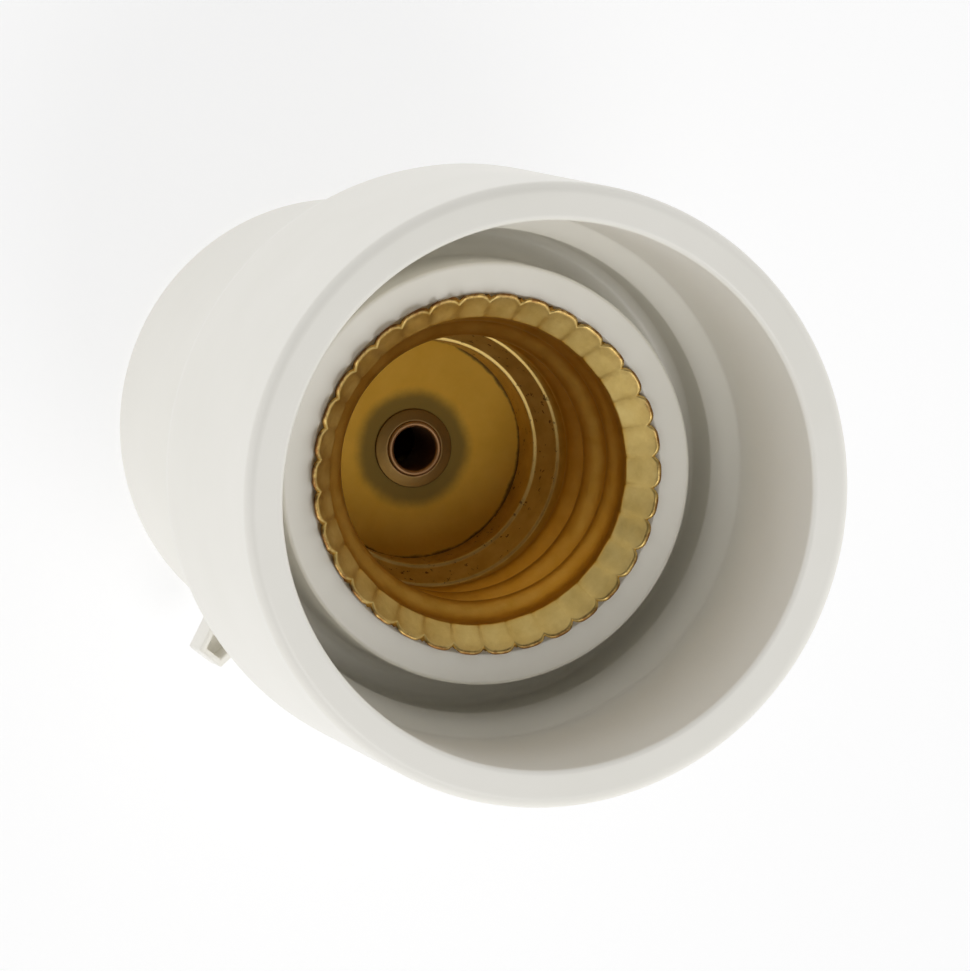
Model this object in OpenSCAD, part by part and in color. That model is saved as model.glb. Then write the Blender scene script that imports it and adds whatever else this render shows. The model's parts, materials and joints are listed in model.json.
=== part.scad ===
// Lamp socket adapter: a bayonet lamp base at one end and a small screw lamp socket at the other.
// It stands on its contact end, with the axis along +Z and the socket's mouth on top.
// The origin is the centre of the contact end, and the bayonet lugs lie along X.

/* [Skirt] */
// Thickness of the skirt's wall
skirt_wall = 1.8; // [1.2:0.05:4]
// Height of the skirt, from the shoulder to the mouth
skirt_h = 17.5; // [16.5:0.1:24]
// Rounding of the skirt's outer edge at the mouth
rim_round = 0.8; // [0.3:0.1:1.2]
// Rounding of the skirt's lower edge at the shoulder
shoulder_round = 2.5; // [1:0.1:2.8]

/* [Collar and groove] */
// Depth of the collar's face below the mouth
mouth_depth = 10.5; // [8:0.1:11]
// Width of the collar's flat face outside the shell's lip
collar_w = 1.45; // [1:0.05:2.2]
// Width of the narrow groove round the collar
groove_w = 1.5; // [0.8:0.05:2]
// Depth of the narrow groove below the collar's face
groove_depth = 4.6; // [3:0.1:4.8]
// Height of the ledge's outer edge above the collar's face
ledge_rise = 0.5; // [0.4:0.1:0.8]
// Width of the sloping ledge between the groove and the skirt's wall
ledge_w = 1.25; // [0.8:0.05:2]
// Fall of the ledge from the skirt's wall to the groove
ledge_fall = 2; // [1.4:0.1:2.4]

/* [Bayonet base] */
// Diameter of the barrel that goes into a bayonet holder
barrel_d = 22; // [21.7:0.05:22.2]
// Length of the barrel, from the contact end to the shoulder
barrel_h = 19.9; // [18:0.1:24]
// Distance between the outer ends of the two lugs
lug_span = 27.2; // [26:0.1:27.8]
// Height of each lug along the axis
lug_h = 2; // [1.8:0.05:2.2]
// Height of the lugs' middle above the contact end
lug_z = 6.75; // [5.5:0.05:8]
// Width of each lug at the barrel
lug_root_w = 2.4; // [2:0.1:3]
// Width of each lug at its outer end
lug_tip_w = 1.4; // [1.2:0.1:1.9]
// Wall of the hollow lug
lug_wall = 0.32; // [0.25:0.01:0.45]

/* [Screw shell] */
// Largest inner diameter of the rolled thread
thread_major_d = 14; // [13.9:0.05:14.2]
// Depth of the rolled thread, from its crests to its grooves
thread_depth = 0.8; // [0.7:0.01:0.82]
// Rise of the thread in one turn
thread_pitch = 2.822; // [2.6:0.001:3]
// Length of the threaded wall
thread_h = 8.1; // [6:0.1:8.6]
// Step out from the thread's largest radius to the lip's root
lip_entry = 0.15; // [0.1:0.01:0.25]
// Reach of the flared lip from its root to its scalloped edge
lip_reach = 1.4; // [1.2:0.05:1.7]
// Rise of the flared lip from its root to its crest
lip_h = 1.6; // [1.3:0.05:1.8]
// Angle that the flare turns through: past level, so that its scalloped edge points down
lip_turn = 115; // [100:1:120]
// Number of scallops round the lip
scallop_count = 34; // [24:2:40]
// Part of the flare's turn that each notch cuts away, in degrees
notch_turn = 25; // [10:1:35]
// Height of the crimped flutes that end in the scallops
flute_h = 0.08; // [0.05:0.01:0.12]
// Thickness of the brass sheet
sheet_t = 0.3; // [0.2:0.01:0.32]
// Step out from the thread's crests to the wall above the foot's ledge
foot_entry = 0.15; // [0.05:0.01:0.25]
// Height of the sloping ledge at the shell's foot
foot_ledge_h = 1.3; // [0.9:0.05:1.6]
// Width of that ledge, in to the neck
foot_ledge_w = 0.95; // [0.7:0.05:1.2]
// Height of the neck
neck_h = 2.1; // [1.6:0.05:2.6]
// Clearance between the shell and the bore that it sits in
shell_clear = 0.15; // [0.1:0.01:0.2]

/* [Centre contact] */
// Thickness of the insulating disc
disc_t = 0.8; // [0.5:0.05:1.2]
// Clearance round the insulating disc
disc_clear = 0.1; // [0.05:0.01:0.2]
// Thickness of the floor that carries the disc
floor_t = 2.2; // [1.5:0.1:3]
// Diameter of the hole through the eyelet
eyelet_bore_d = 2.1; // [1.6:0.05:2.3]
// Wall of the eyelet's tube
eyelet_wall = 0.2; // [0.15:0.01:0.3]
// Diameter of the eyelet's flat head, and of its rolled foot
eyelet_head_d = 3.8; // [3.4:0.1:4.6]
// Thickness of the eyelet's head
eyelet_head_t = 0.25; // [0.2:0.01:0.4]
// Clearance round the tube in the holes that it passes through
eyelet_clear = 0.1; // [0.05:0.01:0.2]

/* [Contact end] */
// Wall of the barrel round the end plate
barrel_wall = 1.34; // [1:0.02:1.6]
// Step in the barrel's bore that the end plate rests on
plate_step = 0.46; // [0.3:0.02:1]
// Thickness of the end plate
plate_t = 1.8; // [1.4:0.1:2.6]
// Depth of the end plate's face inside the barrel's rim
plate_recess = 0.5; // [0.4:0.05:0.9]
// Clearance round the end plate
plate_clear = 0.06; // [0.04:0.01:0.1]
// Height of the snap bead round the end plate's edge
bead_h = 0.15; // [0.1:0.01:0.2]
// Distance from the middle of each end contact to the upright of its strap
contact_inset = 1.5; // [1.4:0.05:1.9]
// Diameter of each end contact's face
contact_d = 4.8; // [4.4:0.1:5.2]
// Diameter of each end contact's shank
shank_d = 1.8; // [1.6:0.05:1.9]
// Clearance round each shank in its hole
shank_clear = 0.05; // [0.03:0.01:0.1]
// Height of each shank's riveted tail above the strap
tail_h = 0.5; // [0.3:0.05:0.8]

/* [Straps] */
// Width of the two brass straps
strap_w = 3.6; // [3.4:0.1:4.4]
// Thickness of the straps
strap_t = 0.3; // [0.2:0.01:0.4]
// Clearance round a strap in the floor's slot
strap_clear = 0.15; // [0.1:0.01:0.3]
// Height of the lap by which a strap is welded to the shell's neck
weld_lap = 1.2; // [0.8:0.1:1.4]

/* [Hidden] */
$fn = 96;

// Heights above the contact end
mouth_z = barrel_h + skirt_h;
collar_z = mouth_z - mouth_depth;
groove_floor_z = collar_z - groove_depth;
ledge_z = collar_z + ledge_rise;
lip_clear = 0.03;
lip_root_z = collar_z + lip_clear + sheet_t - lip_h * sin(lip_turn);
foot_z = lip_root_z - thread_h;
neck_z = foot_z - foot_ledge_h;
disc_top_z = neck_z - neck_h;
floor_top_z = disc_top_z - disc_t;
floor_z = floor_top_z - floor_t;
plate_top_z = plate_recess + plate_t;

// Radii, from the thread outwards and inwards
lip_root_r = thread_major_d / 2 + lip_entry;
lip_r = lip_root_r + lip_reach;
lip_crest_r = lip_root_r + lip_reach / (1 - cos(lip_turn));
collar_r = lip_r + collar_w;
groove_r = collar_r + groove_w;
mouth_r = groove_r + ledge_w;
skirt_r = mouth_r + skirt_wall;
bore_r = lip_root_r + sheet_t + shell_clear;
foot_r = thread_major_d / 2 - thread_depth + foot_entry;
neck_r = foot_r - foot_ledge_w;
neck_taper = 0.1;
disc_r = neck_r + sheet_t;
recess_r = disc_r + disc_clear;
eyelet_r = eyelet_bore_d / 2 + eyelet_wall;
eyelet_hole_r = eyelet_r + eyelet_clear;
barrel_r = barrel_d / 2;
seat_r = barrel_r - barrel_wall;
plate_r = seat_r - plate_clear;
chamber_r = seat_r - plate_step;
strap_y = neck_r + sheet_t;
contact_y = strap_y - contact_inset;

// Small edge breaks of the moulding
mouth_break = 0.25;
collar_break = 0.2;
end_break = 0.5;
root_fillet = 0.5;

// Points of an arc about [x, y], from one angle to another
function arc(x, y, r, from, to, steps = 6) =
    [for (i = [0 : steps]) let (t = from + (to - from) * i / steps) [x + r * cos(t), y + r * sin(t)]];

// The collar's inner edge, rounded to carry the flared lip
function lip_seat(steps = 6) =
    [for (i = [steps : -1 : 0]) let (t = 90 * i / steps)
        [lip_r - (lip_r - bore_r) * cos(t), lip_root_z + (collar_z - lip_root_z) * sin(t)]];

function smooth(x) = let (c = min(max(x, 0), 1)) c * c * (3 - 2 * c);

module body_section() {
    seat_step_r = foot_r + sheet_t + shell_clear;
    seat_z = neck_z + (seat_step_r - recess_r) * foot_ledge_h / foot_ledge_w;
    bead_z = plate_recess + plate_t / 2;
    polygon(concat(
        [[eyelet_hole_r, floor_z], [chamber_r, floor_z], [chamber_r, plate_top_z]],
        [[seat_r, plate_top_z], [seat_r, bead_z + bead_h], [seat_r + bead_h, bead_z]],
        [[seat_r, bead_z - bead_h], [seat_r, plate_recess], [seat_r + bead_h, 0]],
        arc(barrel_r - end_break, end_break, end_break, -90, 0),
        arc(barrel_r + root_fillet, barrel_h - root_fillet, root_fillet, 180, 90),
        arc(skirt_r - shoulder_round, barrel_h + shoulder_round, shoulder_round, -90, 0, 10),
        arc(skirt_r - rim_round, mouth_z - rim_round, rim_round, 0, 90, 8),
        arc(mouth_r + mouth_break, mouth_z - mouth_break, mouth_break, 90, 180, 4),
        [[mouth_r, ledge_z], [groove_r, ledge_z - ledge_fall]],
        arc(groove_r - root_fillet, groove_floor_z + root_fillet, root_fillet, 0, -90),
        arc(collar_r - collar_break, collar_z - collar_break, collar_break, 0, 90, 4),
        lip_seat(),
        [[bore_r, seat_z], [seat_step_r, seat_z], [recess_r, neck_z]],
        [[recess_r, floor_top_z], [eyelet_hole_r, floor_top_z]]
    ));
}

// One lug seen along the axis, drawn in by a wall for its hollow
module lug_plan(inset = 0) {
    tip = lug_span / 2 - inset;
    slope = (lug_root_w - lug_tip_w) / 2 / (lug_span / 2 - barrel_r);
    start = inset > 0 ? barrel_r + inset / 2 : barrel_r - 1;
    half_start = lug_root_w / 2 - (start - barrel_r) * slope - inset;
    half_tip = lug_tip_w / 2 + inset * slope - inset;
    corner = 0.3 * half_tip;
    polygon([
        [start, -half_start], [tip - corner, -half_tip], [tip, corner - half_tip],
        [tip, half_tip - corner], [tip - corner, half_tip], [start, half_start]
    ]);
}

// The hollow of each lug is open towards the mouth
module lug() {
    difference() {
        translate([0, 0, lug_z - lug_h / 2])
            linear_extrude(lug_h)
                lug_plan();
        translate([0, 0, lug_z - lug_h / 2 + lug_wall])
            linear_extrude(lug_h)
                lug_plan(lug_wall);
    }
}

// White plastic moulding: skirt, shoulder, barrel, inner collar, floor and two hollow lugs
module body() {
    color("#ecebe8")
    union() {
        difference() {
            rotate_extrude()
                body_section();
            translate([-strap_w / 2 - strap_clear, disc_r - strap_t, floor_z - 1])
                cube([strap_w + 2 * strap_clear, strap_t * 2 + strap_clear, neck_z + weld_lap - floor_z + 1]);
        }
        lug();
        rotate(180)
            lug();
    }
}

// Inner face of the flared lip: part runs from 0 at its root to 1 at its scalloped edge
function lobe(a) = abs(cos(scallop_count * a / 2));
function lip_point(part, a) =
    let (turn = part * (lip_turn - notch_turn * (1 - lobe(a))))
    let (lift = flute_h * lobe(a) * part)
    [lip_crest_r - (lip_crest_r - lip_root_r + lift) * cos(turn), lip_root_z + (lip_h + lift) * sin(turn)];

// Inner face of the rolled wall at a depth below the lip's root: the thread fades in and out at its ends
function wall_point(depth, a) =
    let (mean_r = (thread_major_d - thread_depth) / 2)
    let (wave = thread_depth / 2 * cos(360 * (lip_root_z - depth) / thread_pitch - a))
    let (top = smooth(depth / (thread_pitch / 2)))
    let (foot = smooth((thread_h - depth) / (thread_pitch / 2)))
    let (core = mean_r + (lip_root_r - mean_r) * (1 - top) + (foot_r - mean_r) * (1 - foot))
    [core + wave * top * foot, lip_root_z - depth];

// Inner face of the sloping ledge and the neck, as [radius, height] points
foot_points = [
    [foot_r - 0.1, foot_z - 0.2],
    [neck_r + 0.15, neck_z + 0.25],
    [neck_r, neck_z - 0.1],
    [neck_r - neck_taper / 2, neck_z - neck_h / 2],
    [neck_r - neck_taper, disc_top_z]
];

lip_rows = 5;
wall_rows = 22;
row_count = lip_rows + wall_rows + 1 + len(foot_points);
lip_steps = scallop_count * 4;
wall_steps = scallop_count * 2;

// A point of the shell's inner face, counted in rows from the lip's edge down to the neck's end
function inner_point(row, a) =
    row < lip_rows ? lip_point(1 - row / lip_rows, a)
    : row <= lip_rows + wall_rows ? wall_point(thread_h * (row - lip_rows) / wall_rows, a)
    : foot_points[row - lip_rows - wall_rows - 1];

// The matching point of the outer face lies one sheet thickness along the section's normal
function outer_point(row, a) =
    let (before = inner_point(max(row - 1, 0), a), after = inner_point(min(row + 1, row_count - 1), a))
    let (run = after - before)
    inner_point(row, a) + sheet_t * [-run[1], run[0]] / norm(run);

function steps_in(row) = row < lip_rows ? lip_steps : wall_steps;
function first_in(row) = row < lip_rows ? row * lip_steps : lip_rows * lip_steps + (row - lip_rows) * wall_steps;
function spin(p, a) = [p[0] * cos(a), p[0] * sin(a), p[1]];
function flip(faces) = [for (f = faces) [f[0], f[2], f[1]]];

// Triangles between one row and the next, where the lip's fine rows meet the wall's coarser ones too
function strip(row, base) =
    let (n = steps_in(row + 1), top = base + first_in(row), low = base + first_in(row + 1))
    steps_in(row) == n
    ? [for (j = [0 : n - 1]) let (k = (j + 1) % n)
        each [[top + j, top + k, low + k], [top + j, low + k, low + j]]]
    : [for (j = [0 : n - 1]) let (k = (j + 1) % n, m = (2 * j + 2) % (2 * n))
        each [[top + 2 * j, top + 2 * j + 1, low + j], [top + 2 * j + 1, low + k, low + j],
            [top + 2 * j + 1, top + m, low + k]]];

// Triangles across the sheet's edge in one row
function rim(row, base) =
    let (n = steps_in(row), s = first_in(row))
    [for (j = [0 : n - 1]) let (k = (j + 1) % n)
        each [[s + j, s + k, base + s + k], [s + j, base + s + k, base + s + j]]];

// Brass shell drawn and rolled from one sheet: scalloped lip, rolled thread, sloping ledge and neck
module screw_shell() {
    rows = [0 : row_count - 1];
    inner = [for (row = rows) for (j = [0 : steps_in(row) - 1])
        let (a = 360 * j / steps_in(row)) spin(inner_point(row, a), a)];
    outer = [for (row = rows) for (j = [0 : steps_in(row) - 1])
        let (a = 360 * j / steps_in(row)) spin(outer_point(row, a), a)];
    inner_faces = flip([for (row = [0 : row_count - 2]) each strip(row, 0)]);
    outer_faces = [for (row = [0 : row_count - 2]) each strip(row, len(inner))];
    color("#c39a4a")
    polyhedron(
        concat(inner, outer),
        concat(inner_faces, outer_faces, rim(0, len(inner)), flip(rim(row_count - 1, len(inner))))
    );
}

// Amber insulating disc, clamped between the shell's neck and the floor
module insulating_disc() {
    color("#7e5c1c")
    translate([0, 0, floor_top_z])
        difference() {
            cylinder(h = disc_t, r = disc_r - neck_taper);
            translate([0, 0, -1])
                cylinder(h = disc_t + 2, r = eyelet_hole_r);
        }
}

// Hollow brass rivet: its head is the centre contact, and its foot is rolled over under the strap
module centre_eyelet() {
    curl = eyelet_wall * 0.75;
    foot_top = floor_z - strap_t;
    head_top = disc_top_z + eyelet_head_t;
    bore = eyelet_bore_d / 2;
    color("#b98a4c")
    rotate_extrude()
        polygon(concat(
            [[bore, foot_top - eyelet_head_t], [eyelet_head_d / 2, foot_top - eyelet_head_t / 2]],
            [[eyelet_head_d / 2, foot_top], [eyelet_r, foot_top], [eyelet_r, disc_top_z]],
            [[eyelet_head_d / 2, disc_top_z], [eyelet_head_d / 2, head_top - 0.05]],
            [[eyelet_r + curl, head_top]],
            arc(bore + curl, head_top, curl, 0, 180)
        ));
}

// Side view of a strap's lower run: down the barrel and back over the end contact
module strap_run(top_z) {
    foot_end = contact_y - shank_d;
    translate([-strap_w / 2, strap_y, plate_top_z])
        cube([strap_w, strap_t, top_z - plate_top_z]);
    difference() {
        translate([-strap_w / 2, foot_end, plate_top_z])
            cube([strap_w, strap_y + strap_t - foot_end, strap_t]);
        translate([0, contact_y, plate_top_z - 1])
            cylinder(h = strap_t + 2, d = shank_d + 2 * shank_clear);
    }
}

// Brass strap from the shell's neck, through the floor's slot, to its end contact
module shell_strap() {
    color("#c9a45a")
    strap_run(disc_top_z + weld_lap);
}

// Brass strap from the eyelet's foot to the other end contact
module centre_strap() {
    color("#c9a45a")
    rotate(180)
        union() {
            strap_run(floor_z);
            difference() {
                translate([-strap_w / 2, -eyelet_head_d / 2, floor_z - strap_t])
                    cube([strap_w, strap_y + strap_t + eyelet_head_d / 2, strap_t]);
                translate([0, 0, floor_z - strap_t - 1])
                    cylinder(h = strap_t + 2, r = eyelet_hole_r);
            }
        }
}

// White plastic plate that snaps into the barrel's end and carries the two contacts
module end_plate() {
    mid_z = plate_recess + plate_t / 2;
    edge = 0.2;
    color("#e6e4df")
    difference() {
        rotate_extrude()
            polygon([
                [0, plate_recess], [plate_r - edge, plate_recess], [plate_r, plate_recess + edge],
                [plate_r, mid_z - bead_h], [plate_r + bead_h, mid_z], [plate_r, mid_z + bead_h],
                [plate_r, plate_top_z], [0, plate_top_z]
            ]);
        for (side = [-1, 1])
            translate([0, side * contact_y, plate_recess - 1])
                cylinder(h = plate_t + 2, d = shank_d + 2 * shank_clear);
    }
}

// Solid brass contact, riveted through the plate and its strap: its face is level with the barrel's rim
module contact(side) {
    round_r = plate_recess * 0.7;
    tail_z = plate_top_z + strap_t;
    tail_r = shank_d * 0.72;
    color("#d0aa5e")
    translate([0, side * contact_y, 0])
        rotate_extrude()
            polygon(concat(
                [[0, 0]],
                arc(contact_d / 2 - round_r, round_r, round_r, -90, 0),
                [[contact_d / 2, plate_recess], [shank_d / 2, plate_recess], [shank_d / 2, tail_z]],
                [[tail_r, tail_z], [tail_r * 0.8, tail_z + tail_h * 0.8], [0, tail_z + tail_h]]
            ));
}

module shell_contact() {
    contact(1);
}

module centre_contact() {
    contact(-1);
}

body();
screw_shell();
insulating_disc();
centre_eyelet();
shell_strap();
centre_strap();
end_plate();
shell_contact();
centre_contact();
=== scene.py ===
# Lamp socket adapter: a bayonet lamp base at one end, a small screw lamp socket at the other.
import json
import math
import random

import bpy
from mathutils import Matrix, Vector


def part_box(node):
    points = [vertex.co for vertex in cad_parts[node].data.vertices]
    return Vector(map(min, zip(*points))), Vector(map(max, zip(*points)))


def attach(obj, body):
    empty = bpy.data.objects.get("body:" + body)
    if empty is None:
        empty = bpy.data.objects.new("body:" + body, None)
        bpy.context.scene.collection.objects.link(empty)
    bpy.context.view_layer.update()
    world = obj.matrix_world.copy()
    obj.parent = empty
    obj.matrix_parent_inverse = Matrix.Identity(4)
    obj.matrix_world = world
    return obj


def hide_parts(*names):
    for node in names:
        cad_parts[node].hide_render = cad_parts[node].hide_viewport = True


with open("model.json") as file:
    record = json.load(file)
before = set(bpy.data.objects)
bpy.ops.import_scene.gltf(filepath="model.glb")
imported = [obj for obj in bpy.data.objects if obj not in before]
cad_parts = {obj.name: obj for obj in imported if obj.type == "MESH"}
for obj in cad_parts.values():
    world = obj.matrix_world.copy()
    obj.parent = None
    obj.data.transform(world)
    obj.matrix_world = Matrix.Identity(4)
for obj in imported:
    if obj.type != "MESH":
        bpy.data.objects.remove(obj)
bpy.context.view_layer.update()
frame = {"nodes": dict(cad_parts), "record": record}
mounts = {mount["name"]: mount for mount in frame["record"]["mounts"]}
MM = 0.001

# Camera: a long lens that looks down into the mouth, a little off the axis.
# The mouth leans to the lower right in the picture, and one lug points to the lower left.
TILT = math.radians(17.32)
LEAN = math.radians(19.52)
LUG_DIRECTION = math.radians(126.5)
MOUTH_OFF_CENTRE = Vector((3.022, 0.498, 507.8)) * MM
FOCAL_LENGTH = 11000
FRAME_WIDTH = 970
SENSOR_WIDTH = 36
NEAREST = 0.01
FURTHEST = 10

mouth_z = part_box("body")[1][2]
axis_seen = Vector((math.sin(TILT) * math.cos(LEAN), math.sin(TILT) * math.sin(LEAN), -math.cos(TILT)))
lug_seen = Vector((math.cos(LUG_DIRECTION), math.sin(LUG_DIRECTION), 0))
lug_seen.z = -lug_seen.dot(axis_seen) / axis_seen.z
lug_seen.normalize()
side_seen = axis_seen.cross(lug_seen)
part_to_lens = Matrix((lug_seen, side_seen, axis_seen)).transposed()
base_seen = MOUTH_OFF_CENTRE - axis_seen * mouth_z
lens_place = -(part_to_lens.transposed() @ base_seen)
lens_right = part_to_lens.transposed() @ Vector((1, 0, 0))
lens_up = part_to_lens.transposed() @ Vector((0, -1, 0))
lens_back = part_to_lens.transposed() @ Vector((0, 0, -1))

camera_data = bpy.data.cameras.new("camera")
camera_data.sensor_width = SENSOR_WIDTH
camera_data.lens = SENSOR_WIDTH * FOCAL_LENGTH / FRAME_WIDTH
camera_data.clip_start = NEAREST
camera_data.clip_end = FURTHEST
camera = bpy.data.objects.new("camera", camera_data)
turn = Matrix((lens_right, lens_up, lens_back)).transposed().to_4x4()
camera.matrix_world = Matrix.Translation(lens_place) @ turn
bpy.context.collection.objects.link(camera)
bpy.context.scene.camera = camera

# Body: one white moulding of a hard gloss polyester, with soft rounded edges and a groove between
# the skirt and the collar. The barrel's two hollow lugs lock it in a bayonet holder.
SKIRT_R = 14.55
MOUTH_R = mounts["lamp_mouth"]["dims"]["r_mm"]
BARREL_R = mounts["bayonet_base"]["dims"]["r_mm"]
BARREL_H = mounts["bayonet_base"]["dims"]["length_mm"]
MOUTH_H = mouth_z / MM
SKIRT_DRAFT = 0.28
MOUTH_DRAFT = 0.2
SHOULDER_ROUND = 2.5
EDGE_ROUND = 0.5
COLLAR_R = 10.0
COLLAR_H = MOUTH_H - 10.5
LEDGE_DROP = 1.5
GROOVE_R = 11.5
GROOVE_DEPTH = 4.6
LIP_SEAT_R = 8.55
LIP_SEAT_DROP = 0.95
BORE_R = 7.6
RECESS_R = 5.8
SHELL_FOOT_H = 17.7
NECK_H = 16.4
FLOOR_TOP_H = 13.5
FLOOR_H = 11.3
FLOOR_HOLE_R = 1.35
CHAMBER_R = 9.2
SEAT_R = 9.66
PLATE_TOP_H = 2.3
LEAD_IN = 0.15
GUARD_GAP = 0.04
BODY_STEPS = 192


def rounded(corners, steps=7):
    """Outline through (radius, height, rounding) corners, with a point just outside each rounding."""
    outline = []
    count = len(corners)
    for i, (x, y, rounding) in enumerate(corners):
        here = Vector((x, y))
        if rounding == 0:
            outline.append(here)
            continue
        to_last = (Vector(corners[i - 1][:2]) - here).normalized()
        to_next = (Vector(corners[(i + 1) % count][:2]) - here).normalized()
        half = to_last.angle(to_next) / 2
        reach = rounding / math.tan(half)
        centre = here + (to_last + to_next).normalized() * (rounding / math.sin(half))
        first = here + to_last * reach - centre
        last = here + to_next * reach - centre
        guard = min(GUARD_GAP, reach / 5)
        outline.append(here + to_last * (reach + guard))
        sweep = first.angle(last)
        for k in range(steps + 1):
            t = k / steps
            point = first * math.sin((1 - t) * sweep) + last * math.sin(t * sweep)
            outline.append(centre + point / math.sin(sweep))
        outline.append(here + to_next * (reach + guard))
    return outline


def shade(mesh):
    """Smooth all over, with the true corners kept sharp."""
    mesh.shade_smooth()
    mesh.set_sharp_from_angle(angle=math.radians(40))


def new_piece(name, points, faces, material):
    """Makes a smooth mesh piece from points in millimetres and puts it on the part's one body."""
    mesh = bpy.data.meshes.new(name)
    mesh.from_pydata([[c * MM for c in point] for point in points], [], faces)
    shade(mesh)
    mesh.materials.append(material)
    piece = bpy.data.objects.new(name, mesh)
    bpy.context.collection.objects.link(piece)
    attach(piece, "root")
    return piece


def lathe(outline, steps):
    """Points and faces of a closed outline turned about the axis."""
    points = []
    faces = []
    count = len(outline)
    for j in range(steps):
        a = 2 * math.pi * j / steps
        points += [(r * math.cos(a), r * math.sin(a), z) for r, z in outline]
    for j in range(steps):
        k = (j + 1) % steps
        for i in range(count):
            n = (i + 1) % count
            faces.append((j * count + i, k * count + i, k * count + n, j * count + n))
    return points, faces


def linear(hex_colour):
    """Turns an sRGB hex colour into the linear colour that a shader takes."""
    parts = [int(hex_colour[i:i + 2], 16) / 255 for i in (1, 3, 5)]
    return [c / 12.92 if c <= 0.04045 else ((c + 0.055) / 1.055) ** 2.4 for c in parts] + [1]


def add(material, kind, inputs=None, stops=(), **settings):
    """Adds one node, makes its settings, sets or links its inputs, and gives a ramp its colour stops."""
    node = material.node_tree.nodes.new(kind)
    for name, value in settings.items():
        setattr(node, name, value)
    for name, value in (inputs or {}).items():
        if isinstance(value, bpy.types.NodeSocket):
            material.node_tree.links.new(value, node.inputs[name])
        else:
            node.inputs[name].default_value = value
    if stops:
        elements = node.color_ramp.elements
        while len(elements) < len(stops):
            elements.new(1.0)
        for element, (place, hex_colour) in zip(elements, stops):
            element.position = place
            element.color = linear(hex_colour)
    return node


def new_material(name):
    """An empty node material."""
    material = bpy.data.materials.new(name)
    material.use_nodes = True
    material.node_tree.nodes.clear()
    return material


CLOUD_SIZE = 7.143
PEEL_SIZE = 0.3846
PEEL_DEPTH = 0.02


def moulded_plastic():
    """Moulded polyester: a hard warm white with a faint orange peel and a soft gloss."""
    m = new_material("moulded_white_polyester")
    place = add(m, "ShaderNodeTexCoord").outputs["Object"]
    cloud = add(m, "ShaderNodeTexNoise", {"Vector": place, "Scale": 1 / (CLOUD_SIZE * MM), "Detail": 3})
    cloud = cloud.outputs["Fac"]
    tint = add(m, "ShaderNodeValToRGB", {"Fac": cloud}, [(0.3, "#f1eee4"), (0.7, "#f5f2e9")])
    gloss = add(m, "ShaderNodeMapRange", {"Value": cloud, "To Min": 0.3, "To Max": 0.42})
    peel = add(m, "ShaderNodeTexNoise", {"Vector": place, "Scale": 1 / (PEEL_SIZE * MM), "Detail": 2})
    bump = add(m, "ShaderNodeBump", {
        "Height": peel.outputs["Fac"], "Strength": 0.05, "Distance": PEEL_DEPTH * MM})
    shader = add(m, "ShaderNodeBsdfPrincipled", {
        "Base Color": tint.outputs["Color"], "Roughness": gloss.outputs["Result"], "IOR": 1.5,
        "Normal": bump.outputs["Normal"]})
    add(m, "ShaderNodeOutputMaterial", {"Surface": shader.outputs["BSDF"]})
    return m


white_plastic = moulded_plastic()

body_outline = rounded([
    (FLOOR_HOLE_R, FLOOR_H, 0), (CHAMBER_R, FLOOR_H, 0.4), (CHAMBER_R, PLATE_TOP_H, 0),
    (SEAT_R, PLATE_TOP_H, 0), (SEAT_R, 0.2, 0.08), (SEAT_R + LEAD_IN, 0, 0.08),
    (BARREL_R, 0, EDGE_ROUND), (BARREL_R, BARREL_H, EDGE_ROUND),
    (SKIRT_R - SKIRT_DRAFT, BARREL_H, SHOULDER_ROUND), (SKIRT_R, MOUTH_H, EDGE_ROUND),
    (MOUTH_R, MOUTH_H, 0.25), (MOUTH_R - MOUTH_DRAFT, COLLAR_H, 0.6),
    (GROOVE_R, COLLAR_H - LEDGE_DROP, 0.3), (GROOVE_R, COLLAR_H - GROOVE_DEPTH, EDGE_ROUND),
    (COLLAR_R, COLLAR_H - GROOVE_DEPTH, EDGE_ROUND), (COLLAR_R, COLLAR_H, 0.2),
    (LIP_SEAT_R, COLLAR_H, 0.1), (BORE_R, COLLAR_H - LIP_SEAT_DROP, 0.1),
    (BORE_R, SHELL_FOOT_H, 0), (RECESS_R + 1, SHELL_FOOT_H, 0), (RECESS_R, NECK_H, 0),
    (RECESS_R, FLOOR_TOP_H, 0), (FLOOR_HOLE_R, FLOOR_TOP_H, 0),
])
body_points, body_faces = lathe(body_outline, BODY_STEPS)
body = new_piece("body_moulding", body_points, body_faces, white_plastic)

LUG_SPAN = 27.2
LUG_H = 2.0
LUG_MIDDLE_H = 6.75
LUG_ROOT_W = 2.4
LUG_TIP_W = 1.4
LUG_WALL = 0.32
LUG_EDGE = 0.1
LUG_SUNK = 0.8


def lug_corners(inset, start, z):
    """Corners of a lug's plan at one height, drawn in from its sides and tip by an inset."""
    slope = (LUG_ROOT_W - LUG_TIP_W) / (LUG_SPAN - 2 * BARREL_R)
    tip = LUG_SPAN / 2 - inset
    half_start = LUG_ROOT_W / 2 - (start - BARREL_R) * slope - inset
    half_tip = LUG_TIP_W / 2 + inset * slope - inset
    return [(start, -half_start, z), (tip, -half_tip, z), (tip, half_tip, z), (start, half_start, z)]


def tool_piece(name, points, faces):
    """A closed helper mesh in millimetres that cuts or joins the body, and is then removed."""
    mesh = bpy.data.meshes.new(name)
    mesh.from_pydata([[c * MM for c in point] for point in points], [], faces)
    piece = bpy.data.objects.new(name, mesh)
    bpy.context.collection.objects.link(piece)
    return piece


def settle(piece):
    """Turns a piece's modifiers into its mesh."""
    graph = bpy.context.evaluated_depsgraph_get()
    shape = bpy.data.meshes.new_from_object(piece.evaluated_get(graph))
    piece.modifiers.clear()
    piece.data = shape


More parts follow.
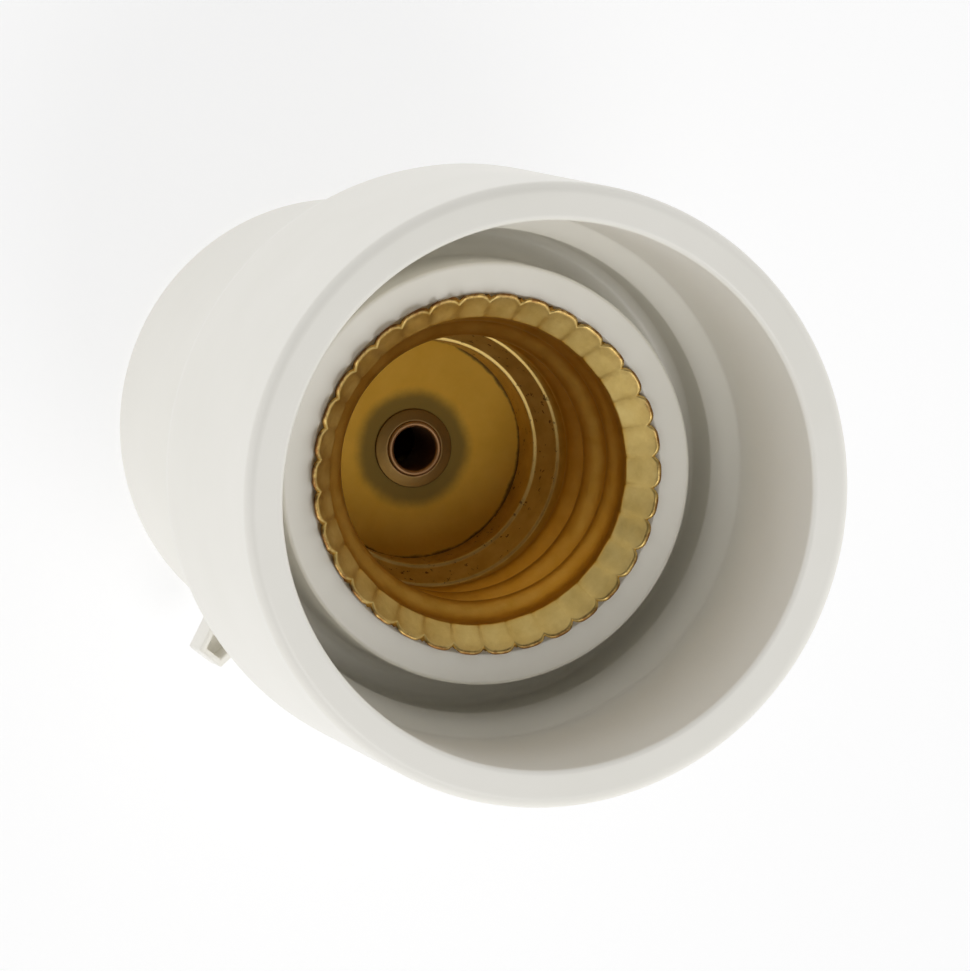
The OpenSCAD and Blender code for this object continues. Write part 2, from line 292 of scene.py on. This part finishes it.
def combine(piece, tool, operation):
    """Joins a tool piece to a piece, or cuts it out of it."""
    step = piece.modifiers.new(operation, "BOOLEAN")
    step.operation = operation
    step.object = tool
    step.solver = "EXACT"
    settle(piece)
    bpy.data.objects.remove(tool)


def side_faces(low, high):
    """The four sides between two rings of four points, from the numbers of the rings."""
    return [(4 * low + i, 4 * low + (i + 1) % 4, 4 * high + (i + 1) % 4, 4 * high + i) for i in range(4)]


lug_bottom = LUG_MIDDLE_H - LUG_H / 2
lug_top = LUG_MIDDLE_H + LUG_H / 2
pocket_start = BARREL_R + LUG_WALL / 2
lug_points = lug_corners(0, BARREL_R - LUG_SUNK, lug_bottom) + lug_corners(0, BARREL_R - LUG_SUNK, lug_top)
lug_points += lug_corners(LUG_WALL, pocket_start, lug_top)
lug_points += lug_corners(LUG_WALL, pocket_start, lug_bottom + LUG_WALL)
lug_faces = [(3, 2, 1, 0), (12, 13, 14, 15)] + side_faces(0, 1) + side_faces(1, 2) + side_faces(2, 3)
for side in (0, math.pi):
    lug = tool_piece("lug", lug_points, lug_faces)
    lug.rotation_euler.z = side
    bevel = lug.modifiers.new("soft edges", "BEVEL")
    bevel.width = LUG_EDGE * MM
    bevel.segments = 3
    settle(lug)
    combine(body, lug, "UNION")

STRAP_W = 3.6
STRAP_T = 0.3
STRAP_Y = 5.7
SLOT_CLEAR = 0.15
slot_x = STRAP_W / 2 + SLOT_CLEAR
slot_inner_y = STRAP_Y - STRAP_T
slot_outer_y = STRAP_Y + STRAP_T + SLOT_CLEAR
slot_plan = ((-slot_x, slot_inner_y), (slot_x, slot_inner_y), (slot_x, slot_outer_y), (-slot_x, slot_outer_y))
slot_points = [(x, y, z) for z in (FLOOR_H - 1, SHELL_FOOT_H - 0.1) for x, y in slot_plan]
slot_faces = [(3, 2, 1, 0), (4, 5, 6, 7)] + side_faces(0, 1)
combine(body, tool_piece("slot", slot_points, slot_faces), "DIFFERENCE")
shade(body.data)
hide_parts("body")

# Screw shell: one brass sheet, drawn and rolled. Its flared lip is crimped into scallops over the
# collar's edge, the thread is rolled into its wall, and its foot steps in over a ledge to a neck.
SHEET_T = 0.3
SCALLOPS = 34
ENTRY_R = 7.25
ENTRY_SHIFT = 0.2
WIDE_SIDE = math.radians(-72.062)
LIP_BEND_H = 0.45
LIP_EDGE_R = 8.54
LIP_EDGE_H = 1.42
TIP_REACH = 0.14
TIP_DROP = 0.05
SCALLOP_DEPTH = 0.28
CREASE_DEPTH = 0.16
REACH_PLAY = 0.03
EDGE_PLAY = 0.04
BEND_PLAY = 0.06
THREAD_R = 7.0
THREAD_DEPTH = 0.8
THREAD_PITCH = 2.822
THREAD_H = 8.1
TOP_FADE = 1.4
FOOT_FADE = 2
FOOT_RISE = 0.3
FOOT_R = 6.35
FOOT_LEDGE_H = 1.3
TOP_FLAT = 0.16
LOW_FLAT = 0.18
FLAT_FALL = 0.03
NECK_R = 5.4
NECK_H = 2.1
NECK_WAIST = 0.1
WALL_ROWS = 44
SHELL_STEPS = 16 * SCALLOPS

disc_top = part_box("screw_shell")[0][2] / MM
neck_top = disc_top + NECK_H
foot_top = neck_top + FOOT_LEDGE_H
lip_root = foot_top + THREAD_H

chance = random.Random(34)
scallop_reach = [chance.uniform(-1, 1) for i in range(SCALLOPS)]
scallop_lift = [chance.uniform(-1, 1) for i in range(SCALLOPS)]


def at_scallop(values, a):
    """The value of the scallop that an angle lies in."""
    return values[math.floor(SCALLOPS * a / (2 * math.pi) + 0.5) % SCALLOPS]


def entry_radius(a):
    """The flare is a little wider on one side, so the entry lies off the middle of its edge."""
    return ENTRY_R + ENTRY_SHIFT * math.cos(a - WIDE_SIDE)


def lip_line(a):
    """Inner face of the flare at one angle, from its scalloped edge in to the bend at the entry."""
    petal = abs(math.cos(SCALLOPS * a / 2))
    reach = REACH_PLAY * petal * at_scallop(scallop_reach, a)
    lift = petal * at_scallop(scallop_lift, a)
    crease = CREASE_DEPTH * (1 - petal) ** 3
    edge_r = LIP_EDGE_R - SCALLOP_DEPTH * (1 - petal) ** 2 + reach
    edge_h = lip_root + LIP_EDGE_H + EDGE_PLAY * lift - crease
    bend_r = entry_radius(a) + reach + 0.3 * crease
    bend_h = lip_root + LIP_BEND_H + BEND_PLAY * lift - 0.5 * crease
    tip = (edge_r, edge_h - TIP_DROP, 0)
    wall = (entry_radius(a), lip_root + 0.1, 0)
    return rounded([tip, (edge_r - TIP_REACH, edge_h, 0.2), (bend_r, bend_h, 0.15), wall], 5)


def smooth(x):
    """Rises gently from 0 to 1 as x does."""
    x = min(max(x, 0), 1)
    return x * x * (3 - 2 * x)


def wall_point(depth, a):
    """Inner face of the rolled wall: the thread fades in at the top and out at the foot."""
    mean_r = THREAD_R - THREAD_DEPTH / 2
    wave = THREAD_DEPTH / 2 * math.cos(2 * math.pi * (lip_root - depth) / THREAD_PITCH - a)
    top = smooth(TOP_FADE * depth / THREAD_PITCH)
    foot = smooth(FOOT_FADE * (THREAD_H - depth) / THREAD_PITCH)
    core = mean_r + (entry_radius(a) - mean_r) * (1 - top) + (FOOT_R - mean_r) * (1 - foot)
    return Vector((core + wave * top * foot, lip_root - depth))


foot_line = rounded([
    (FOOT_R, foot_top + 0.4, 0), (FOOT_R, foot_top, 0.06), (FOOT_R - TOP_FLAT, foot_top - FLAT_FALL, 0.05),
    (NECK_R + LOW_FLAT, neck_top + FLAT_FALL, 0.05), (NECK_R, neck_top, 0.07),
    (NECK_R - NECK_WAIST, disc_top + 0.15, 0), (NECK_R, disc_top, 0),
], 3)[1:]


def shell_section(a):
    """Inner face of the shell at one angle, from the lip's edge down to the neck's end."""
    shares = [k / WALL_ROWS for k in range(WALL_ROWS + 1)]
    wall = [wall_point(THREAD_H * share - FOOT_RISE * share ** 4, a) for share in shares]
    return lip_line(a) + wall + foot_line


def shell_mesh():
    """Both faces of the sheet, one thickness apart, closed at the scalloped edge and at the neck's end."""
    inner = []
    outer = []
    for j in range(SHELL_STEPS):
        a = 2 * math.pi * j / SHELL_STEPS
        section = shell_section(a)
        count = len(section)
        for i, p in enumerate(section):
            run = section[min(i + 1, count - 1)] - section[max(i - 1, 0)]
            q = p + Vector((-run.y, run.x)).normalized() * SHEET_T
            inner.append((p.x * math.cos(a), p.x * math.sin(a), p.y))
            outer.append((q.x * math.cos(a), q.x * math.sin(a), q.y))
    faces = []
    base = len(inner)
    for j in range(SHELL_STEPS):
        k = (j + 1) % SHELL_STEPS
        for i in range(count - 1):
            a, b, c, d = j * count + i, k * count + i, k * count + i + 1, j * count + i + 1
            faces.append((a, d, c, b))
            faces.append((base + a, base + b, base + c, base + d))
        top, next_top = j * count, k * count
        end, next_end = top + count - 1, next_top + count - 1
        faces.append((top, next_top, base + next_top, base + top))
        faces.append((end, base + end, base + next_end, next_end))
    return inner + outer, faces


def distance_from_axis(m, place):
    """Distance from the part's axis, in metres."""
    flat = add(m, "ShaderNodeVectorMath", {0: place, 1: (1, 1, 0)}, operation="MULTIPLY")
    return add(m, "ShaderNodeVectorMath", {0: flat.outputs["Vector"]}, operation="LENGTH").outputs["Value"]


TARNISH_SIZE = 1.1111
PIT_SIZE = 0.3846
DENT_SIZE = 0.6667
DENT_DEPTH = 0.05
SHADED_SIDE_LEAN = math.radians(16.464)


def rolled_brass():
    """Rolled brass: bright on the flare, duller in the thread, pitted at the foot, with painted shade in
    brown on the flare's outer half and at the cut edge.
    """
    m = new_material("rolled_brass")
    place = add(m, "ShaderNodeTexCoord").outputs["Object"]
    cloud = add(m, "ShaderNodeTexNoise", {
        "Vector": place, "Scale": 1 / (TARNISH_SIZE * MM), "Detail": 4, "Roughness": 0.6}).outputs["Fac"]
    speck = add(m, "ShaderNodeTexNoise", {
        "Vector": place, "Scale": 1 / (PIT_SIZE * MM), "Detail": 3, "Roughness": 0.7}).outputs["Fac"]
    height = add(m, "ShaderNodeSeparateXYZ", {"Vector": place}).outputs["Z"]
    ragged_h = add(m, "ShaderNodeMath", {0: speck, 1: 0.2 * MM, 2: height}, operation="MULTIPLY_ADD")
    reach = distance_from_axis(m, place)
    ragged_r = add(m, "ShaderNodeMath", {0: speck, 1: 0.6 * MM, 2: reach}, operation="MULTIPLY_ADD")

    bright = add(m, "ShaderNodeValToRGB", {"Fac": cloud}, [
        (0.3, "#d6b86e"), (0.55, "#e3c77e"), (0.75, "#edd48c")])
    dull = add(m, "ShaderNodeValToRGB", {"Fac": cloud}, [(0.3, "#d3ab52"), (0.7, "#e0ba64")])
    bend_h = lip_root + LIP_BEND_H
    flare = add(m, "ShaderNodeMapRange", {
        "Value": ragged_h.outputs["Value"], "From Min": bend_h * MM, "From Max": (bend_h + 0.2) * MM})
    tint = add(m, "ShaderNodeMix", {
        "Factor": flare.outputs["Result"], "A": dull.outputs["Color"], "B": bright.outputs["Color"]},
        data_type="RGBA")
    foot = add(m, "ShaderNodeMapRange", {
        "Value": height, "From Min": (foot_top + 0.6) * MM, "From Max": (foot_top + 0.1) * MM})
    tint = add(m, "ShaderNodeMix", {
        "Factor": foot.outputs["Result"], "A": tint.outputs["Result"], "B": bright.outputs["Color"]},
        data_type="RGBA")

    # Painted shade: the outer half of the flare is painted brown a little all round, and more on its wide
    # side.
    shaded_side_way = (math.sin(SHADED_SIDE_LEAN) * math.cos(WIDE_SIDE), math.sin(SHADED_SIDE_LEAN) * math.sin(WIDE_SIDE),
                math.cos(SHADED_SIDE_LEAN))
    side = add(m, "ShaderNodeVectorMath", {0: place, 1: shaded_side_way}, operation="DOT_PRODUCT")
    shaded_side = add(m, "ShaderNodeMapRange", {
        "Value": side.outputs["Value"], "From Min": 22 * MM, "From Max": 26 * MM,
        "To Min": 0.1, "To Max": 0.4})
    outer_half = add(m, "ShaderNodeMapRange", {
        "Value": ragged_r.outputs["Value"], "From Min": (LIP_EDGE_R - 0.35) * MM,
        "From Max": (LIP_EDGE_R + 0.1) * MM})
    lip_shade = add(m, "ShaderNodeMath", {0: outer_half.outputs["Result"], 1: shaded_side.outputs["Result"]},
               operation="MULTIPLY")
    tint = add(m, "ShaderNodeMix", {
        "Factor": lip_shade.outputs["Value"], "A": tint.outputs["Result"], "B": linear("#a07a42")},
        data_type="RGBA")
    # Painted shade: the cut edge and the turned-down tip under the scallops are painted dark brown.
    cut_edge_shade = add(m, "ShaderNodeMapRange", {
        "Value": ragged_r.outputs["Value"], "From Min": (LIP_EDGE_R + 0.1) * MM,
        "From Max": (LIP_EDGE_R + 0.28) * MM, "To Max": 0.85})
    tint = add(m, "ShaderNodeMix", {
        "Factor": cut_edge_shade.outputs["Result"], "A": tint.outputs["Result"], "B": linear("#7a4c26")},
        data_type="RGBA")

    foot_share = add(m, "ShaderNodeMath", {0: foot.outputs["Result"], 1: 0.2}, operation="MULTIPLY")
    pitting = add(m, "ShaderNodeMath", {0: speck, 1: foot_share.outputs["Value"]}, operation="ADD")
    pits = add(m, "ShaderNodeMapRange", {
        "Value": pitting.outputs["Value"], "From Min": 0.82, "From Max": 0.88, "To Max": 0.75})
    tint = add(m, "ShaderNodeMix", {
        "Factor": pits.outputs["Result"], "A": tint.outputs["Result"], "B": linear("#5a3212")},
        data_type="RGBA")

    gloss = add(m, "ShaderNodeMapRange", {"Value": cloud, "To Min": 0.32, "To Max": 0.46})
    rougher_foot = add(m, "ShaderNodeMapRange", {
        "Value": height, "From Min": (foot_top + 0.5) * MM, "From Max": (foot_top + 0.1) * MM,
        "To Min": 1.0, "To Max": 1.35})
    gloss = add(m, "ShaderNodeMath", {0: gloss.outputs["Result"], 1: rougher_foot.outputs["Result"]},
                operation="MULTIPLY")
    dents = add(m, "ShaderNodeTexNoise", {"Vector": place, "Scale": 1 / (DENT_SIZE * MM), "Detail": 3})
    bump = add(m, "ShaderNodeBump", {
        "Height": dents.outputs["Fac"], "Strength": 0.45, "Distance": DENT_DEPTH * MM})
    shader = add(m, "ShaderNodeBsdfPrincipled", {
        "Base Color": tint.outputs["Result"], "Metallic": 1.0, "Roughness": gloss.outputs["Value"],
        "Normal": bump.outputs["Normal"]})
    add(m, "ShaderNodeOutputMaterial", {"Surface": shader.outputs["BSDF"]})
    return m


shell_points, shell_faces = shell_mesh()
shell = new_piece("rolled_shell", shell_points, shell_faces, rolled_brass())
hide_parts("screw_shell")

# Insulating disc: resin bonded board, punched, amber brown and matt. It lies on the floor under the shell's
# neck.
# Round the rivet's head it is darkened, partly as a stain and partly as painted shade for a pressed hollow
# that is not drawn.
DISC_R = 5.6
DISC_T = 0.8
RIVET_HOLE_R = 1.35
STAIN_AND_SHADE_R = 2.85
MOTTLE_SIZE = 2
FIBRE_SIZE = 0.2
FIBRE_DEPTH = 0.02
DISC_STEPS = 128


def resin_board():
    """Resin bonded board: amber brown, matt, with a fine fibre mottle, darkened round the rivet partly as a
    stain and partly as painted shade, and a painted shade line at the neck.
    """
    m = new_material("resin_board")
    place = add(m, "ShaderNodeTexCoord").outputs["Object"]
    cloud = add(m, "ShaderNodeTexNoise", {
        "Vector": place, "Scale": 1 / (MOTTLE_SIZE * MM), "Detail": 4, "Roughness": 0.65}).outputs["Fac"]
    board = add(m, "ShaderNodeValToRGB", {"Fac": cloud}, [(0.3, "#e2b13a"), (0.7, "#ecbc48")])
    reach = distance_from_axis(m, place)
    ragged = add(m, "ShaderNodeMath", {0: cloud, 1: 0.5 * MM, 2: reach}, operation="MULTIPLY_ADD")
    # Round the rivet the board is darkened, partly as a stain and partly as painted shade for a pressed
    # hollow that is not drawn.
    stain_and_shade = add(m, "ShaderNodeMapRange", {
        "Value": ragged.outputs["Value"], "From Min": (STAIN_AND_SHADE_R + 0.5) * MM,
        "From Max": (STAIN_AND_SHADE_R - 0.25) * MM}, interpolation_type="SMOOTHSTEP")
    tint = add(m, "ShaderNodeMix", {
        "Factor": stain_and_shade.outputs["Result"], "A": board.outputs["Color"], "B": linear("#8e7634")},
        data_type="RGBA")
    # Painted shade: a dark ragged line on the board where the shell's neck stands on it.
    shade_at_neck = add(m, "ShaderNodeMapRange", {
        "Value": ragged.outputs["Value"], "From Min": (NECK_R + 0.02) * MM, "From Max": (NECK_R + 0.14) * MM,
        "To Max": 0.8})
    tint = add(m, "ShaderNodeMix", {
        "Factor": shade_at_neck.outputs["Result"], "A": tint.outputs["Result"], "B": linear("#3c2a12")},
        data_type="RGBA")
    fibre = add(m, "ShaderNodeTexNoise", {"Vector": place, "Scale": 1 / (FIBRE_SIZE * MM), "Detail": 2})
    bump = add(m, "ShaderNodeBump", {
        "Height": fibre.outputs["Fac"], "Strength": 0.15, "Distance": FIBRE_DEPTH * MM})
    shader = add(m, "ShaderNodeBsdfPrincipled", {
        "Base Color": tint.outputs["Result"], "Roughness": 0.6, "Specular IOR Level": 0.12,
        "Normal": bump.outputs["Normal"]})
    add(m, "ShaderNodeOutputMaterial", {"Surface": shader.outputs["BSDF"]})
    return m


disc_bottom = disc_top - DISC_T
disc_outline = rounded([
    (RIVET_HOLE_R, disc_bottom, 0), (DISC_R, disc_bottom, 0.06), (DISC_R, disc_top, 0.06),
    (RIVET_HOLE_R, disc_top, 0),
], 3)
disc_points, disc_faces = lathe(disc_outline, DISC_STEPS)
disc = new_piece("resin_disc", disc_points, disc_faces, resin_board())
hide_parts("insulating_disc")

# Eyelet: a hollow brass rivet, the socket's centre contact. Its flat head lies on the disc, its bore is open,
# and its foot is rolled over under the centre strap.
# The head is tarnished. Its rolled edge is painted lighter and coppery, partly as bare metal and partly as a
# painted highlight, and its bore is painted darker as painted shade.
BORE_OPEN_R = 1.05
TUBE_R = 1.25
HEAD_R = 1.9
HEAD_T = 0.25
HEAD_SIDE_H = 0.12
HEAD_BEVEL = 0.5
CURL = 0.15
CURL_STEPS = 8
EYELET_STEPS = 96
GRIME_SIZE = 0.7143
SCUFF_SIZE = 0.3333
SCUFF_DEPTH = 0.03


def tarnished_brass_and_painted_light():
    """Tarnished rivet brass: coppery and lighter at the rolled edge, partly as bare metal and partly as a
    painted highlight, darker inside the bore as painted shade, and dark brown elsewhere.
    """
    m = new_material("tarnished_brass_and_painted_light")
    place = add(m, "ShaderNodeTexCoord").outputs["Object"]
    cloud = add(m, "ShaderNodeTexNoise", {
        "Vector": place, "Scale": 1 / (GRIME_SIZE * MM), "Detail": 4, "Roughness": 0.7}).outputs["Fac"]
    reach = distance_from_axis(m, place)
    ragged = add(m, "ShaderNodeMath", {0: cloud, 1: 0.4 * MM, 2: reach}, operation="MULTIPLY_ADD")
    across = add(m, "ShaderNodeMapRange", {
        "Value": ragged.outputs["Value"], "From Min": 1.0 * MM, "From Max": 2.2 * MM})
    # The rolled edge is painted lighter and coppery, partly as bare metal and partly as a painted highlight,
    # and the bore below it is painted darkest as painted shade.
    tint = add(m, "ShaderNodeValToRGB", {"Fac": across.outputs["Result"]}, [
        (0.0, "#3c2c1c"), (0.14, "#b08a66"), (0.36, "#a5805a"), (0.5, "#8a6e40"), (0.8, "#8a6c3a"),
        (1.0, "#7c6230")])
    dents = add(m, "ShaderNodeTexNoise", {"Vector": place, "Scale": 1 / (SCUFF_SIZE * MM), "Detail": 3})
    bump = add(m, "ShaderNodeBump", {
        "Height": dents.outputs["Fac"], "Strength": 0.4, "Distance": SCUFF_DEPTH * MM})
    shader = add(m, "ShaderNodeBsdfPrincipled", {
        "Base Color": tint.outputs["Color"], "Metallic": 1.0, "Roughness": 0.5,
        "Normal": bump.outputs["Normal"]})
    add(m, "ShaderNodeOutputMaterial", {"Surface": shader.outputs["BSDF"]})
    return m


foot_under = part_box("centre_eyelet")[0][2] / MM
strap_under = foot_under + HEAD_T
head_top = disc_top + HEAD_T
curl_angles = [math.pi * k / CURL_STEPS for k in range(CURL_STEPS + 1)]
crest = [(BORE_OPEN_R + CURL - CURL * math.cos(a), head_top + CURL * math.sin(a), 0) for a in curl_angles]
eyelet_outline = rounded([
    (BORE_OPEN_R, foot_under + 0.1, 0), (BORE_OPEN_R + 0.1, foot_under, 0), (HEAD_R - 0.1, foot_under, 0.08),
    (HEAD_R, strap_under, 0), (TUBE_R, strap_under, 0), (TUBE_R, disc_top, 0), (HEAD_R, disc_top, 0.02),
    (HEAD_R, disc_top + HEAD_SIDE_H, 0.05), (HEAD_R - HEAD_BEVEL, head_top, 0.2)] + crest[::-1])
eyelet_points, eyelet_faces = lathe(eyelet_outline, EYELET_STEPS)
eyelet = new_piece("hollow_rivet", eyelet_points, eyelet_faces, tarnished_brass_and_painted_light())
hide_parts("centre_eyelet")

# Straps and contacts: the straps are cut from brass strip and bent, one welded to the shell's neck and
# one held by the rivet. The solid contacts are turned, and their tails are riveted over the straps.
STRIP_ROUGHNESS = 0.34
TURNED_ROUGHNESS = 0.24
STREAK_SIZE = 1.4286
SCRATCH_SIZE = 0.2222
SCRATCH_DEPTH = 0.02


def bright_brass(name, roughness):
    """Brass strip and turned brass: paler and brighter than the shell, with fine scratches."""
    m = new_material(name)
    place = add(m, "ShaderNodeTexCoord").outputs["Object"]
    cloud = add(m, "ShaderNodeTexNoise", {"Vector": place, "Scale": 1 / (STREAK_SIZE * MM), "Detail": 3})
    cloud = cloud.outputs["Fac"]
    tint = add(m, "ShaderNodeValToRGB", {"Fac": cloud}, [(0.3, "#c39b4c"), (0.7, "#dcbc74")])
    gloss = add(m, "ShaderNodeMapRange", {
        "Value": cloud, "To Min": roughness - 0.06, "To Max": roughness + 0.08})
    scratches = add(m, "ShaderNodeTexNoise", {
        "Vector": place, "Scale": 1 / (SCRATCH_SIZE * MM), "Detail": 2})
    bump = add(m, "ShaderNodeBump", {
        "Height": scratches.outputs["Fac"], "Strength": 0.15, "Distance": SCRATCH_DEPTH * MM})
    shader = add(m, "ShaderNodeBsdfPrincipled", {
        "Base Color": tint.outputs["Color"], "Metallic": 1.0, "Roughness": gloss.outputs["Result"],
        "Normal": bump.outputs["Normal"]})
    add(m, "ShaderNodeOutputMaterial", {"Surface": shader.outputs["BSDF"]})
    return m


strip_brass = bright_brass("brass_strip", STRIP_ROUGHNESS)
turned_brass = bright_brass("turned_brass", TURNED_ROUGHNESS)
for node, metal in (("shell_strap", strip_brass), ("centre_strap", strip_brass),
                    ("shell_contact", turned_brass), ("centre_contact", turned_brass)):
    frame["nodes"][node].material_slots[0].material = metal

# End plate: a plate of the same white moulding material, snapped into the barrel's end by a bead
# round its edge. It carries the two contacts.
frame["nodes"]["end_plate"].material_slots[0].material = white_plastic

# Floor and light: a plain white sheet that glows a little, as one lit from below, in a soft white
# tent that is dim overhead on one side and brightest low round its sides, with one large round lamp.
HALF_FLOOR = 1.5
FLOOR_GAP = 0.05
FLOOR_GLOW = 0.66
LOW_LIGHT = 0.75
BAND_LIGHT = 1.18
SIDE_LIGHT = 0.92
DIM_LIGHT = 0.05
LAMP_POWER = 0.6
LAMP_SIZE = 0.2
LAMP_DISTANCE = 0.6
LAMP_TURN = math.radians(75)
LAMP_LEAN = math.radians(18)
DIM_TURN = math.radians(240)
DIM_LEAN = math.radians(28)

floor_mesh = bpy.data.meshes.new("floor")
floor_plan = ((-1, -1), (1, -1), (1, 1), (-1, 1))
floor_mesh.from_pydata([(x * HALF_FLOOR, y * HALF_FLOOR, -FLOOR_GAP * MM) for x, y in floor_plan],
                       [], [(0, 1, 2, 3)])
floor_white = new_material("floor_white")
floor_shader = add(floor_white, "ShaderNodeBsdfPrincipled", {
    "Base Color": linear("#a8a8a8"), "Roughness": 0.9, "Emission Color": linear("#ffffff"),
    "Emission Strength": FLOOR_GLOW})
add(floor_white, "ShaderNodeOutputMaterial", {"Surface": floor_shader.outputs["BSDF"]})
floor_mesh.materials.append(floor_white)
floor = bpy.data.objects.new("floor", floor_mesh)
bpy.context.collection.objects.link(floor)


def direction(turn, lean):
    """A direction that leans from the part's axis to an angle in the picture, clockwise from its right."""
    across = lens_right * math.cos(turn) - lens_up * math.sin(turn)
    across.z = 0
    return Vector((0, 0, math.cos(lean))) + across.normalized() * math.sin(lean)


world = bpy.data.worlds.new("tent")
bpy.context.scene.world = world
world.use_nodes = True
sky = add(world, "ShaderNodeTexCoord").outputs["Generated"]
dim_side = tuple(direction(DIM_TURN, DIM_LEAN))
facing = add(world, "ShaderNodeVectorMath", {0: sky, 1: dim_side}, operation="DOT_PRODUCT")
overhead = add(world, "ShaderNodeMapRange", {
    "Value": facing.outputs["Value"], "From Min": 0.45, "From Max": 0.85,
    "To Min": SIDE_LIGHT, "To Max": DIM_LIGHT}, interpolation_type="SMOOTHSTEP")
sky_height = add(world, "ShaderNodeSeparateXYZ", {"Vector": sky}).outputs["Z"]
sides = add(world, "ShaderNodeMapRange", {
    "Value": sky_height, "From Min": 0.05, "From Max": 0.35,
    "To Min": LOW_LIGHT, "To Max": BAND_LIGHT}, interpolation_type="SMOOTHSTEP")
strength = add(world, "ShaderNodeMapRange", {
    "Value": sky_height, "From Min": 0.35, "From Max": 0.75,
    "To Min": sides.outputs["Result"], "To Max": overhead.outputs["Result"]}, interpolation_type="SMOOTHSTEP")
background = world.node_tree.nodes["Background"]
background.inputs["Color"].default_value = (0.98, 0.985, 1, 1)
world.node_tree.links.new(strength.outputs["Result"], background.inputs["Strength"])

lamp_data = bpy.data.lights.new("softbox", "AREA")
lamp_data.shape = "DISK"
lamp_data.size = LAMP_SIZE
lamp_data.energy = LAMP_POWER
softbox = bpy.data.objects.new("softbox", lamp_data)
softbox.location = direction(LAMP_TURN, LAMP_LEAN) * LAMP_DISTANCE
softbox.rotation_euler = (-softbox.location).to_track_quat("-Z", "Y").to_euler()
bpy.context.collection.objects.link(softbox)

bpy.context.scene.view_settings.view_transform = "Standard"
